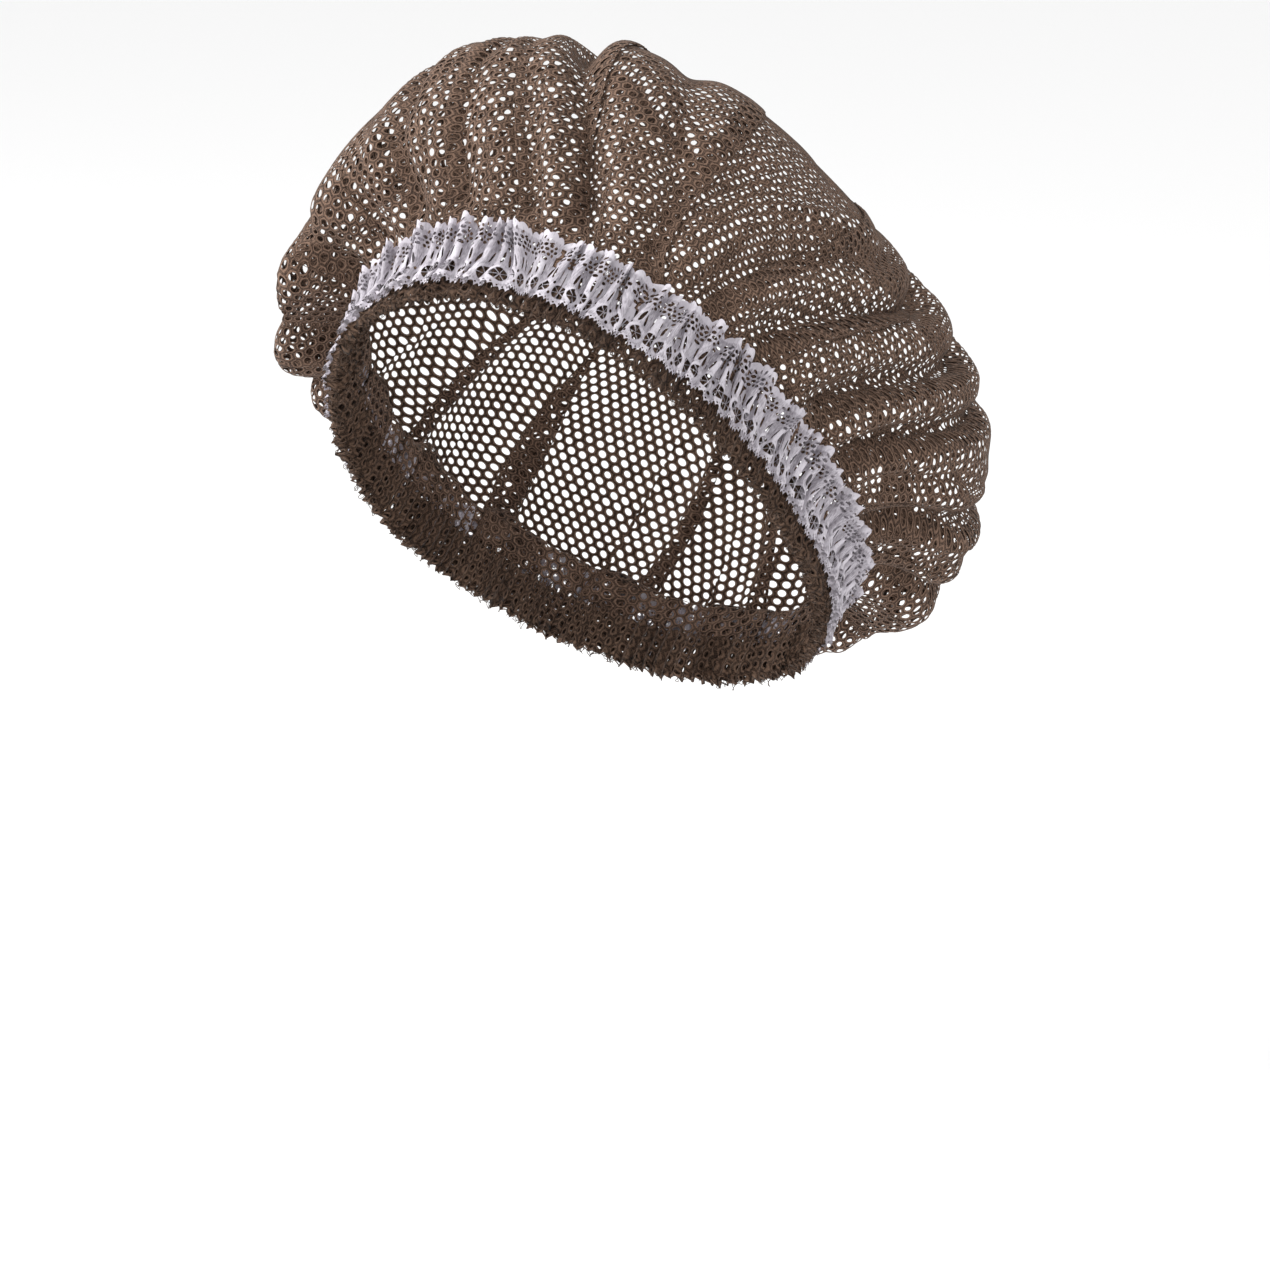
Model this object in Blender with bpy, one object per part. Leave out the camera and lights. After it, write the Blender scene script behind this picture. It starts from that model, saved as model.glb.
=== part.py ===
"""Hairnet: a full bouffant cap of net, gathered on a narrow hem under a frill of pleated lace.

The cap keeps the form that it has when it is worn. The origin is the middle of the head opening.
+X is the wearer's left, -Y is the front and +Z is up. The band leans back: its front lies high on
the forehead and its back lies low on the nape. Everything is modelled upright round the band's own
axis, under one empty that carries the lean. Azimuths are degrees round the band, from the front
towards the wearer's left.
"""
import bpy
import numpy as np

# Band
OPENING_WIDTH = 0.158       # head opening inside the hem, side to side
OPENING_LENGTH = 0.194      # head opening inside the hem, front to back
SIDE_DIP = 0.0085           # how far the band curves down towards the ears
BAND_LEAN = 48.5            # degrees, front of the band up and back of it down
CLEARANCE = 0.0003          # gap between pieces that touch

# Hem
HEM_WALL = 0.0030           # gathered casing, two layers of net and a cord
HEM_DEPTH = 0.0150          # from its top edge to its ruffled lower edge
HEM_RUFFLE = 0.0016         # how far the lower edge waves out
HEM_SCALLOP = 0.0014        # how far the lower edge waves up and down
HEM_FRILLS = 60
HEM_SWINGS = 23             # slower swings of the lower edge, up and down

# Lace band
LACE_WALL = 0.0016
LACE_ABOVE = 0.0140         # frill above the top of the hem
LACE_BELOW = 0.0100         # skirt below the top of the hem
LACE_PLEATS = 120
PLEAT_DEPTH = 0.0011        # pleats along the sewn line
FRILL_DEPTH = 0.0026        # pleats along the frill's top edge
SKIRT_DEPTH = 0.0020        # pleats along the skirt's lower edge
FRILL_FLARE = 0.0015        # how far the frill leans out
FRILL_SCALLOP = 0.0012      # how far its edges wave up and down
PLEAT_SWINGS = 17           # bunches of deeper and shallower pleats round the band
PLEAT_UNEVEN = 0.15         # how uneven the pleats are, share of their depth

# Crown
CROWN_WALL = 0.0014
CROWN_HEIGHT = 0.112        # top of the crown above the middle of the band
PUFF = 0.032                # how far the net stands out past the band
NECK_HEIGHT = 0.0150        # the net stands up this far behind the lace before it swells
NECK_LEAN = 0.0008          # how far the neck opens outwards
SPRING_ANGLE = 60.0         # degrees above level at which the net leaves the neck
SPRING = 0.45               # length of the swell's handles, share of its span
FOLD_DEPTH = 0.0095
FOLD_WIDTH = 0.016
FOLD_BANK = 0.35            # height of the banks beside a fold, share of its depth
FOLD_FOOT = 0.2             # a fold deepens over this share of its run
FOLD_FADE = 0.75, 1.35      # shares of its run between which it dies away
GATHER_START = 0.05         # share of the section over which the fine gathers begin
GATHER_DEPTH = 0.0018       # fine gathers above the neck
GATHER_REACH = 0.34         # how far up they run, share of the section
GATHERS = 30
CROWN_COLUMNS = 120
CROWN_RINGS = (0.0, 0.05, 0.11, 0.18, 0.26, 0.35, 0.45, 0.56, 0.68, 0.80, 0.91)

# Sections round the crown: reach is a share of PUFF, bulge is the height of the widest place as a
# share of CROWN_HEIGHT, and fullness is the power of the curve from there to the top. Lean is how
# far, in degrees, the gathers that start here have drifted round the cap half way up.
SECTIONS = np.array([
    # azimuth, reach, bulge, fullness, lean
    (0, 0.43, 0.49, 2.45, -10),
    (30, 0.27, 0.46, 2.40, 12),
    (60, 0.18, 0.44, 2.20, 36),
    (90, 0.38, 0.40, 2.15, 34),
    (120, 0.90, 0.36, 2.20, 26),
    (150, 1.00, 0.24, 2.20, 10),
    (180, 0.72, 0.16, 2.20, 0),
    (210, 0.75, 0.16, 2.20, -4),
    (240, 0.90, 0.16, 2.20, 0),
    (270, 1.00, 0.10, 2.20, 0),
    (300, 1.00, 0.05, 2.40, 0),
    (330, 0.83, 0.37, 2.75, -4),
], dtype=[("azimuth", float), ("reach", float), ("bulge", float), ("fullness", float), ("lean", float)])
LEAN_REACH = 0.55           # share of the section by which the gathers have drifted that far

# Folds: each runs up from its foot at the neck, along the drift of the gathers and a little off it.
# Stray is that bit in degrees, reach is a share of the section's length, depth is a share of
# FOLD_DEPTH and width is a share of FOLD_WIDTH.
FOLDS = np.array([
    # foot, stray, reach, depth, width
    (337, 0, 0.60, 0.7, 0.8),
    (350, 3, 0.50, 0.4, 0.6),
    (5, -8, 0.50, 0.5, 0.7),
    (15, -20, 0.85, 1.4, 0.8),
    (28, -14, 0.60, 0.4, 0.7),
    (40, 10, 0.50, 0.6, 0.9),
    (53, 8, 0.76, 1.3, 0.9),
    (72, 2, 0.72, 1.1, 0.9),
    (89, -2, 0.50, 0.8, 0.8),
    (112, 2, 0.50, 0.9, 0.9),
    (133, 0, 0.50, 0.7, 1.0),
    (155, -6, 0.55, 0.8, 1.0),
    (178, 6, 0.60, 0.7, 1.0),
    (202, -4, 0.55, 0.9, 1.0),
    (226, 5, 0.50, 0.6, 1.0),
    (252, -6, 0.60, 0.9, 1.0),
    (276, 6, 0.50, 0.7, 1.0),
    (297, 2, 0.60, 0.8, 0.9),
    (313, -1, 0.50, 0.6, 0.8),
], dtype=[("foot", float), ("stray", float), ("reach", float), ("depth", float), ("width", float)])


def make_material(name, colour, roughness):
    """A plain matt finish."""
    material = bpy.data.materials.new(name)
    material.use_nodes = True
    shader = material.node_tree.nodes["Principled BSDF"]
    shader.inputs["Base Color"].default_value = (*colour, 1.0)
    shader.inputs["Roughness"].default_value = roughness
    shader.inputs["Metallic"].default_value = 0.0
    return material


def turn_between(start, end):
    """The signed angle from start to end, the short way round, in degrees."""
    return (end - start + 180.0) % 360.0 - 180.0


def read_round(column, azimuth):
    """Reads a column of SECTIONS between its evenly spaced rows, on a smooth closed curve."""
    values = SECTIONS[column]
    place = azimuth / 360.0 * len(values)
    row = np.floor(place).astype(int)
    part = place - row
    before, low, high, after = (values[(row + step) % len(values)] for step in (-1, 0, 1, 2))
    slope = high - before
    bend = 2.0 * before - 5.0 * low + 4.0 * high - after
    twist = 3.0 * low - before - 3.0 * high + after
    return low + 0.5 * part * (slope + part * (bend + part * twist))


def band_radius(azimuth, outside=0.0):
    """Distance from the band's axis to an oval that lies outside the head opening."""
    half_width = OPENING_WIDTH / 2 + outside
    half_length = OPENING_LENGTH / 2 + outside
    angle = np.radians(azimuth)
    return half_width * half_length / np.hypot(half_length * np.sin(angle), half_width * np.cos(angle))


def band_drop(azimuth):
    """How far the band has curved down at this azimuth."""
    return SIDE_DIP * np.sin(np.radians(azimuth)) ** 2


def place_round(azimuth, radius, height):
    """Points round the band's axis."""
    angle = np.radians(azimuth)
    return np.stack([radius * np.sin(angle), -radius * np.cos(angle), height], axis=-1)


def uneven_wave(azimuth, count):
    """A wave from -1 to 1 round the band, whose crests are unevenly spaced."""
    angle = np.radians(azimuth)
    return np.sin(count * angle + 2.0 * np.sin(5 * angle))


def section_point(azimuth, share):
    """The crown's radius and height at one azimuth and a share of the way from its neck to its top."""
    neck_radius = band_radius(azimuth, CLEARANCE + HEM_WALL / 2 + CROWN_WALL / 2) + NECK_LEAN
    neck_top = NECK_HEIGHT - band_drop(azimuth)
    widest = neck_radius + read_round("reach", azimuth) * PUFF
    bulge = read_round("bulge", azimuth) * CROWN_HEIGHT
    power = 2.0 / read_round("fullness", azimuth)
    handle = SPRING * np.hypot(widest - neck_radius, bulge - neck_top)
    lift = np.radians(SPRING_ANGLE)
    t = np.linspace(0.0, 1.0, 40)
    weights = (1 - t) ** 3, 3 * t * (1 - t) ** 2, 3 * t ** 2 * (1 - t), t ** 3
    radii = neck_radius, neck_radius + handle * np.cos(lift), widest, widest
    heights = neck_top, neck_top + handle * np.sin(lift), bulge - handle, bulge
    swell_radius = sum(weight * radius for weight, radius in zip(weights, radii))
    swell_height = sum(weight * height for weight, height in zip(weights, heights))
    turn = np.linspace(0.0, np.pi / 2, 60)[1:]
    dome_radius = widest * np.maximum(np.cos(turn), 0.0) ** power
    dome_height = bulge + (CROWN_HEIGHT - bulge) * np.sin(turn) ** power
    radius = np.append(swell_radius, dome_radius)
    height = np.append(swell_height, dome_height)
    length = np.append(0.0, np.cumsum(np.hypot(np.diff(radius), np.diff(height))))
    stop = share * length[-1]
    return np.interp(stop, length, radius), np.interp(stop, length, height)


def drift(foot, share):
    """How far a gather that starts at this azimuth has drifted round the cap at a share of its way up."""
    run = np.clip(share / LEAN_REACH, 0.0, 1.0)
    return read_round("lean", foot) * run ** 2 * (3.0 - 2.0 * run)


def fold_depths(foot, share):
    """How far the folds and fine gathers draw the net in, over a grid of gather feet and shares."""
    foot, share = np.meshgrid(foot, share, indexing="ij")
    radius = band_radius(foot) + PUFF * np.sin(np.pi * np.clip(share, 0.0, 0.5))
    depth = np.zeros_like(foot)
    for fold in FOLDS:
        run = np.minimum(share / fold["reach"], FOLD_FADE[1])
        line = fold["foot"] + fold["stray"] * run
        across = np.radians(turn_between(line, foot)) * radius / (FOLD_WIDTH * fold["width"])
        fade = (FOLD_FADE[1] - run) / (FOLD_FADE[1] - FOLD_FADE[0])
        along = np.clip(run / FOLD_FOOT, 0.0, 1.0) * np.clip(fade, 0.0, 1.0)
        along = along ** 2 * (3.0 - 2.0 * along)
        profile = np.exp(-4.0 * across ** 2) - FOLD_BANK * np.exp(-0.8 * across ** 2)
        depth += FOLD_DEPTH * fold["depth"] * along * profile
    fade = np.clip(share / GATHER_START, 0.0, 1.0) * np.clip(1.0 - share / GATHER_REACH, 0.0, 1.0)
    depth += GATHER_DEPTH * fade * np.sin(np.radians(foot) * GATHERS)
    return depth


def grid_normals(points):
    """Outward unit normals of a grid that closes round its first axis."""
    round_step = np.roll(points, -1, axis=0) - np.roll(points, 1, axis=0)
    up_step = np.gradient(points, axis=1)
    normals = np.cross(round_step, up_step)
    return normals / np.linalg.norm(normals, axis=-1, keepdims=True)


def shell_object(name, outer, inner, material, outer_top=None, inner_top=None):
    """One closed body between two grids, with a rim at the foot and a rim or a point at the top."""
    columns, rings = outer.shape[:2]
    points = [tuple(point) for grid in (outer, inner) for point in grid.reshape(-1, 3)]
    inner_start = columns * rings
    faces = []
    for column in range(columns):
        here = column * rings
        there = (column + 1) % columns * rings
        for ring in range(rings - 1):
            faces.append((here + ring, there + ring, there + ring + 1, here + ring + 1))
            inside = (here + ring + 1, there + ring + 1, there + ring, here + ring)
            faces.append(tuple(inner_start + index for index in inside))
        faces.append((there, here, inner_start + here, inner_start + there))
        top_here, top_there = here + rings - 1, there + rings - 1
        if outer_top is None:
            faces.append((top_here, top_there, inner_start + top_there, inner_start + top_here))
        else:
            faces.append((top_here, top_there, 2 * inner_start))
            faces.append((inner_start + top_there, inner_start + top_here, 2 * inner_start + 1))
    if outer_top is not None:
        points += [outer_top, inner_top]
    mesh = bpy.data.meshes.new(name)
    mesh.from_pydata(points, [], faces)
    mesh.materials.append(material)
    mesh.shade_smooth()
    mesh.update()
    piece = bpy.data.objects.new(name, mesh)
    bpy.context.scene.collection.objects.link(piece)
    return piece


def build_crown(material):
    """The bag of net: a neck behind the lace, then a full, folded dome."""
    feet = np.arange(CROWN_COLUMNS) * 360.0 / CROWN_COLUMNS
    shares = np.array(CROWN_RINGS)
    bag = np.empty((CROWN_COLUMNS, len(shares), 3))
    for column, foot_azimuth in enumerate(feet):
        for ring, share in enumerate(shares):
            azimuth = foot_azimuth + drift(foot_azimuth, share)
            bag[column, ring] = place_round(azimuth, *section_point(azimuth, share))
    bag -= grid_normals(bag) * fold_depths(feet, shares)[..., None]
    foot_radius = band_radius(feet, HEM_WALL / 2 + CROWN_WALL / 2)
    foot = place_round(feet, foot_radius, CLEARANCE - band_drop(feet))
    outer = np.concatenate([foot[:, None], bag], axis=1)
    normals = grid_normals(outer)
    normals[:, 0] = normals[:, 0] * (1, 1, 0)
    inner = outer - normals * CROWN_WALL
    top = (0.0, 0.0, CROWN_HEIGHT)
    under_top = (0.0, 0.0, CROWN_HEIGHT - CROWN_WALL)
    return shell_object("crown", outer, inner, material, top, under_top)


def build_lace_band(material):
    """The frill of lace round the outside of the hem, in knife pleats."""
    columns = 2 * LACE_PLEATS
    azimuths = np.arange(columns) * 360.0 / columns
    out_fold = np.arange(columns) % 2
    fullness = 1.0 - PLEAT_UNEVEN + PLEAT_UNEVEN * uneven_wave(azimuths, PLEAT_SWINGS)
    rows = (
        # height, pleat depth, flare, edge wave
        (-LACE_BELOW, SKIRT_DEPTH, 0.0, -FRILL_SCALLOP),
        (0.0, PLEAT_DEPTH, 0.0, 0.0),
        (LACE_ABOVE / 2, PLEAT_DEPTH, FRILL_FLARE / 2, 0.0),
        (LACE_ABOVE, FRILL_DEPTH, FRILL_FLARE, FRILL_SCALLOP),
    )
    inner = np.empty((columns, len(rows), 3))
    outer = np.empty_like(inner)
    for row, (height, pleat, flare, wave) in enumerate(rows):
        outside = HEM_WALL + CLEARANCE + flare + pleat * out_fold * fullness
        level = height + wave * (out_fold * fullness - 1.0) - band_drop(azimuths)
        inner[:, row] = place_round(azimuths, band_radius(azimuths) + outside, level)
        outer[:, row] = place_round(azimuths, band_radius(azimuths) + outside + LACE_WALL, level)
    return shell_object("lace_band", outer, inner, material)


def build_hem(material):
    """The gathered casing that the net and the lace are sewn to, with its ruffled lower edge."""
    columns = 2 * HEM_FRILLS
    azimuths = np.arange(columns) * 360.0 / columns
    wave = 0.5 + 0.5 * np.cos(np.radians(azimuths) * HEM_FRILLS)
    swing = 0.5 + 0.5 * uneven_wave(azimuths, HEM_SWINGS)
    rows = (
        # height, share of the ruffle, share of the scallop
        (-HEM_DEPTH, 1.0, 1.0),
        (-LACE_BELOW - FRILL_SCALLOP, 0.0, 0.0),
        (-HEM_DEPTH / 3, 0.0, 0.0),
        (0.0, 0.0, 0.0),
    )
    inner = np.empty((columns, len(rows), 3))
    outer = np.empty_like(inner)
    for row, (height, ruffle, scallop) in enumerate(rows):
        out = HEM_RUFFLE * ruffle * wave
        level = height + HEM_SCALLOP * scallop * swing - band_drop(azimuths)
        inner[:, row] = place_round(azimuths, band_radius(azimuths) + out, level)
        outer[:, row] = place_round(azimuths, band_radius(azimuths) + out + HEM_WALL, level)
    return shell_object("hem", outer, inner, material)


def main():
    for old in list(bpy.data.objects):
        bpy.data.objects.remove(old)
    lean = bpy.data.objects.new("head_opening", None)
    lean.rotation_euler.x = -np.radians(BAND_LEAN)
    bpy.context.scene.collection.objects.link(lean)
    net = make_material("brown net", (0.105, 0.075, 0.058), 0.8)
    casing = make_material("brown casing", (0.080, 0.056, 0.045), 0.85)
    lace = make_material("lilac white lace", (0.58, 0.56, 0.64), 0.7)
    pieces = (build_crown(net), build_lace_band(lace), build_hem(casing))
    for piece in pieces:
        piece.parent = lean


main()
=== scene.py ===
"""Looks of the hairnet: the knitted net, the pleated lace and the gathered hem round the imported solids.

Metres, +Z up, the origin in the middle of the head opening, +X the wearer's left and -Y the front.
Each cloth is worked out flat, as it was cut, and is then gathered, folded and leant back as worn.
Azimuths are degrees round the band, from the front towards the wearer's left.
"""

import bpy
import numpy as np
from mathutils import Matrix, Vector
from mathutils.geometry import delaunay_2d_cdt


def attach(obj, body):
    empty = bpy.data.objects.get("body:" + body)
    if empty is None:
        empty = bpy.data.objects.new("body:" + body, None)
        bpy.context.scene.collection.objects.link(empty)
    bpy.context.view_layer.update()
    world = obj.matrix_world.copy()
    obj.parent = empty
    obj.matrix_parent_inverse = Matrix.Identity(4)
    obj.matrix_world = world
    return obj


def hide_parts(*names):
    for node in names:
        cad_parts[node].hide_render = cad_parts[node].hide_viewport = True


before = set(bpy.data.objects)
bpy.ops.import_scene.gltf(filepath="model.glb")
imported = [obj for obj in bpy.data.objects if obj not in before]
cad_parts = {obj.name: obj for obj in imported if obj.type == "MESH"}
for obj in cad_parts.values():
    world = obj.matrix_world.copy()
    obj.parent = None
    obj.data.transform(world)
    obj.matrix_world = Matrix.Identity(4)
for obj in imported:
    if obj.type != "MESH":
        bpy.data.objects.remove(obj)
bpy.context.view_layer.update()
random = np.random.default_rng(11)

# Band
OPENING_WIDTH = 0.158
OPENING_LENGTH = 0.194
SIDE_DIP = 0.0085
BAND_LEAN = 48.5            # degrees, front of the band up and back of it down
HEM_WALL = 0.0030
HEM_DEPTH = 0.0150

# Crown, as its solid has it
CROWN_WALL = 0.0014
CROWN_HEIGHT = 0.112
PUFF = 0.032
NECK_HEIGHT = 0.0150
NECK_LEAN = 0.0008
SPRING_ANGLE = 60.0
SPRING = 0.45
FOLD_DEPTH = 0.0095
FOLD_WIDTH = 0.016
FOLD_BANK = 0.35
FOLD_FOOT = 0.2
FOLD_FADE = 0.75, 1.35
GATHER_DEPTH = 0.0018
GATHER_START = 0.05
GATHER_REACH = 0.34
GATHERS = 30
LEAN_REACH = 0.55
FOLD_SHARPNESS = 4.0
BANK_SHARPNESS = 0.8
TOP_FADE = 0.08             # share of the way up, next to the top, over which folds die out

# How finely the crown's form is worked out
SWELL_STEPS = 60
DOME_STEPS = 120
TABLE_COLUMNS = 720
TABLE_RINGS = 300
FORM_COLUMNS = 1000
FORM_RINGS = 220

SECTIONS = np.array([
    # azimuth, reach, bulge, fullness, lean
    (0, 0.43, 0.49, 2.45, -10),
    (30, 0.27, 0.46, 2.40, 12),
    (60, 0.18, 0.44, 2.20, 36),
    (90, 0.38, 0.40, 2.15, 34),
    (120, 0.90, 0.36, 2.20, 26),
    (150, 1.00, 0.24, 2.20, 10),
    (180, 0.72, 0.16, 2.20, 0),
    (210, 0.75, 0.16, 2.20, -4),
    (240, 0.90, 0.16, 2.20, 0),
    (270, 1.00, 0.10, 2.20, 0),
    (300, 1.00, 0.05, 2.40, 0),
    (330, 0.83, 0.37, 2.75, -4),
], dtype=[("azimuth", float), ("reach", float), ("bulge", float), ("fullness", float), ("lean", float)])

FOLDS = np.array([
    # foot, stray, reach, depth, width
    (337, 0, 0.60, 0.7, 0.8),
    (350, 3, 0.50, 0.4, 0.6),
    (5, -8, 0.50, 0.5, 0.7),
    (15, -20, 0.85, 1.4, 0.8),
    (28, -14, 0.60, 0.4, 0.7),
    (40, 10, 0.50, 0.6, 0.9),
    (53, 8, 0.76, 1.3, 0.9),
    (72, 2, 0.72, 1.1, 0.9),
    (89, -2, 0.50, 0.8, 0.8),
    (112, 2, 0.50, 0.9, 0.9),
    (133, 0, 0.50, 0.7, 1.0),
    (155, -6, 0.55, 0.8, 1.0),
    (178, 6, 0.60, 0.7, 1.0),
    (202, -4, 0.55, 0.9, 1.0),
    (226, 5, 0.50, 0.6, 1.0),
    (252, -6, 0.60, 0.9, 1.0),
    (276, 6, 0.50, 0.7, 1.0),
    (297, 2, 0.60, 0.8, 0.9),
    (313, -1, 0.50, 0.6, 0.8),
], dtype=[("foot", float), ("stray", float), ("reach", float), ("depth", float), ("width", float)])

# Net: holes in staggered columns, ringed by raised thread
NET_RADIUS = 0.245          # the net is cut as a disc of this radius
COLUMN_PITCH = 0.0033       # between columns of holes
ROW_PITCH = 0.0040          # between holes in one column
HOLE_WIDTH = 0.0022
HOLE_LENGTH = 0.0028
HOLE_SIDES = 12
HOLE_UNEVEN = 0.10          # how much holes differ, share of their size
THREAD_RISE = 0.00028       # the thread between holes stands up this far

# Tucks: the net is gathered at the band in tucks that lie three deep and run out further up
TUCK_TAKE = 0.86            # share of a tuck's net that is hidden in it
TUCK_LIFT = 0.0015          # from a tuck's lowest layer to its highest
TUCK_OVERLAP = 1.5          # how far a tuck's layers pass one another, 1 for just folded flat
TUCK_HOLD = 0.45            # share of a large tuck that stays folded until the end of its reach
TUCK_LOOSE = 0.35           # share of the spare net that it still takes past its reach
TUCK_FADE = 2.2             # how quickly it runs out
TUCK_STEPS = 100            # steps up the crown in which the tucks' places are worked out
FOLD_TUCK = 0.5, 1.3        # weight of a fold's tuck: the first, plus the second times the fold's depth
FOLD_NEAR = 11.0            # degrees over which a fold pulls the net along as it strays
EXTRA_HOLD = 0.20           # small tucks between the folds: share that stays folded
EXTRA_PLACE = 0.35, 0.65    # where they lie between two folds
EXTRA_WEIGHT = 0.2, 0.6
EXTRA_REACH = 0.3, 0.5

# Creases: small ones that the form's solid leaves out
CREASES = 90
CREASE_DEPTH = 0.0017
CREASE_WIDTH = 0.0060
CREASE_BANK = 0.3
CREASE_STRAY = 14.0         # degrees, how far they run aslant
CREASE_FOOT = -0.1, 0.35    # share of the way up at which they start
CREASE_REACH = 0.15, 0.45   # how far up they run from there
CREASE_SIZE = 0.4, 1.0

# Lace
LACE_DEPTH = 0.024          # from picots to scallops
LACE_BELOW = 0.0100         # part of it below the top of the hem
LACE_TILE = 0.013           # one repeat of its pattern
LACE_TILES = 86
LACE_PLEATS = 108
LACE_GRAIN = 0.00065        # spacing of the mesh's points in its plain places
LACE_WANDER = 0.0017        # how far the lace wanders up and down the hem
LACE_CLEAR = 0.0005         # least room between it and the hem

# Pattern of the lace, in millimetres from the lower left corner of one repeat
MM = 0.001
PICOTS = 10
PICOT_DEPTH = 1.1
FAN_RISE = 1.7
FAN_LOBES = 6
LOBE_RISE = 0.9
LACE_MIDDLE = 6.5
FLOWER_UP = 5.4
FLOWER_PETALS = 6
FLOWER_THREAD = 0.14        # half the width of the threads that cross a flower
FLOWERS = np.array([
    # across, radius
    (3.2, 2.6),
    (9.7, 2.4),
], dtype=[("across", float), ("radius", float)])
LACE_CUTS = {
    # width, height, corners
    "between flowers": (0.9, 1.3, 8),
    "over picots": (0.5, 0.7, 6),
    "beside leaf": (0.85, 4.2, 12),
    "over leaf": (1.9, 1.1, 8),
    "open ground": (1.25, 1.12, 7),
    "fan": (0.55, 1.5, 8),
}

# Lace pleats: the least and the most of each way in which they differ
PLEAT_SIZE = 0.50, 1.30     # against the usual depth
PLEAT_LEAN = -0.25, 0.25    # sideways, for each metre of height
PLEAT_KNIFE = -0.35, 0.50   # sideways, for each metre that the pleat stands out
KNIFE_RISE = 0.012          # height over which the knife grows
PLEAT_TURN = 0.09           # how far a pleat's sides turn under

# Waves round the band that keep pleats and gathers from being regular
LACE_SPACING = (
    # size, count, start
    (0.30, 7, 1.0),
    (0.22, 23, 0.0),
)
LACE_DRIFT = (
    (1.0, 1, 0.9 + np.pi / 2),
    (0.3, 5, 0.0),
    (0.2, 13, 1.0),
)
HEM_SPACING = (
    (0.4, 11, 0.0),
    (0.3, 29, 1.0),
)

# Lace pleats by height: how deep they are and how far the lace stands off the hem
LACE_RISES = np.array([
    # height, depth, standoff
    (0.0, 0.0022, 0.0004),
    (0.005, 0.0017, 0.0002),
    (0.010, 0.0012, 0.0001),
    (0.015, 0.0018, 0.0004),
    (0.020, 0.0024, 0.0008),
    (0.024, 0.0027, 0.0014),
], dtype=[("height", float), ("depth", float), ("standoff", float)])

# Hem: a strip of the same net, folded over the elastic and gathered
HEM_STRIP = 0.034           # its width before it is folded
HEM_LENGTH = 1.15           # its length before it is gathered
HEM_HOLE_SHARE = 0.62       # size of its holes against the crown's, as the elastic draws them together
HEM_GATHERS = 165
HEM_GATHER_DEPTH = 0.0011
HEM_PATH = np.array([
    # width, outside, height
    (0.000, 0.0006, 0.0022),
    (0.013, 0.0006, -0.0125),
    (0.016, 0.0012, -0.0148),
    (0.019, 0.0022, -0.0148),
    (0.022, 0.0026, -0.0125),
    (0.034, 0.0026, 0.0022),
], dtype=[("width", float), ("outside", float), ("height", float)])
HEM_RUFFLE = 0.0013
HEM_RUFFLE_FROM = 0.0095    # below the top of the hem
HEM_RUFFLE_OVER = 0.005     # height over which it grows from there
HEM_RUFFLE_DROP = 0.0012
GATHER_SIZE = 0.4, 1.3      # least and most against the usual gather
GATHER_DROP = -0.6, 1.0

# Fuzz: loose loops of thread along the hem's lower edge
FUZZ_LOOPS = 700
FUZZ_STEPS = 9
FUZZ_SIDES = 3
FUZZ_THICKNESS = 0.00013    # half the thickness of its thread
FUZZ_START = 0.0012         # above the hem's lower edge
FUZZ_WIDTH = 0.0008, 0.0028
FUZZ_DROP = 0.0006, 0.0026
FUZZ_OUTSIDE = 0.0010, 0.0046
FUZZ_CURL = 0.8, 1.7

# Finishes: colours of the thread, its gloss, and how its grain and its rise mix dark and light; on the
# net that rise paints shade at each hole's edge and between the thread's strands
NET_FINISH = {
    "dark": (0.015, 0.0075, 0.0045),
    "light": (0.215, 0.134, 0.094),
    "roughness": 0.8,
    "sheen": 0.04,
    "fibre_scale": 26.0,    # fibres to a centimetre
    "along": 1.0,           # length of a fibre against its width
    "rise_turns": 7.0,         # radians of light and dark from a hole to the middle of the thread: the lines of the thread's strands, with painted shade at the hole's edge and in the groove between strands
    "start": -1.0,          # radians at the hole
    "edge": 0.42,           # how strongly the light and dark by rise, painted shade included, show against fibres
    "low": 0.62,            # grain that is all dark
    "high": 1.14,           # grain that is all light
}
CASING_FINISH = {
    **NET_FINISH,
    "light": (0.165, 0.102, 0.070),
    "roughness": 0.85,
    "sheen": 0.06,
    "edge": 0.40,
    "low": 0.60,
    "high": 1.12,
}
LACE_FINISH = {
    "dark": (0.26, 0.235, 0.265),
    "light": (0.60, 0.565, 0.615),
    "roughness": 0.6,
    "sheen": 0.1,
    "fibre_scale": 30.0,
    "along": 5.0,
    "rise_turns": 3.14,
    "start": -1.57,
    "edge": 0.30,
    "low": 0.52,
    "high": 0.96,
}

# View and light
VIEW_AZIMUTH = 32.0
VIEW_ELEVATION = 12.0
VIEW_DISTANCE = 1.5
PIXELS_PER_METRE = 3100.0
IMAGE_PIXELS = 1270
ORIGIN_PIXEL = 601.0, 461.0     # where the middle of the head opening lies in the image
SENSOR_WIDTH = 36.0
FLOOR_REACH = 6.0
FLOOR_HEIGHT = -0.235
LIGHTS = (
    # name, place, size, power
    ("key", (-1.1, -0.9, 1.1), 0.9, 29.0),
    ("fill", (0.6, -1.4, 0.9), 1.4, 2.0),
)


def turn_between(start, end):
    """The signed angle from start to end, the short way round, in degrees."""
    return (end - start + 180.0) % 360.0 - 180.0


def read_round(column, azimuth):
    """Reads a column of SECTIONS between its evenly spaced rows, on a smooth closed curve."""
    values = SECTIONS[column]
    place = azimuth / 360.0 * len(values)
    row = np.floor(place).astype(int)
    part = place - row
    before, low, high, after = (values[(row + step) % len(values)] for step in (-1, 0, 1, 2))
    slope = high - before
    bend = 2.0 * before - 5.0 * low + 4.0 * high - after
    twist = 3.0 * low - before - 3.0 * high + after
    return low + 0.5 * part * (slope + part * (bend + part * twist))


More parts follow.
